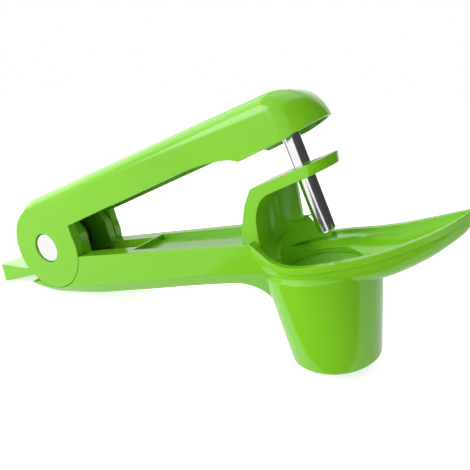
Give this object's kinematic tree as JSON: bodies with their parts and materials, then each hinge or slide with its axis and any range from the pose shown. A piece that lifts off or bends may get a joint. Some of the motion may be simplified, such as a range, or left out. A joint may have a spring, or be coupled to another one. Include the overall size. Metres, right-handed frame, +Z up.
{
  "type": "cherry pitter with lever",
  "caption": "Hand-held cherry pitter: hinged hollow lever drives a steel rod through a guard into a boat-shaped bowl over a tapered cup.",
  "frame": {"origin": "on the table under the middle of the bounding box, the tool lying as it rests with its lever part open", "axes": "+X from the hinge towards the spout, +Y across the tool towards its left side, +Z up from the table"},
  "size_m": [0.1932, 0.0402, 0.0919],
  "materials": {
    "green_plastic": "gloss",
    "polished_steel": "polished",
    "seat_plastic": "gloss",
    "dark_plastic": "matt",
    "spring_steel": "satin"
  },
  "bodies": {
    "base": {"base_frame": "green_plastic", "seat_ring": "seat_plastic", "spring_sleeve": "dark_plastic", "torsion_spring": "spring_steel"},
    "lever": {"upper_lever": "green_plastic", "plunger_rod": "polished_steel", "hinge_post": "polished_steel", "hinge_screw": "polished_steel"}
  },
  "joints": [
    {"name": "lever_hinge", "type": "hinge", "parent": "base", "child": "lever", "pos_m": [-0.06289, 0, 0.02388], "axis": [0, -1, 0], "range_deg": [-6, 6.5], "stiffness_Nm_per_rad": 3, "springref_deg": 0.53}
  ]
}
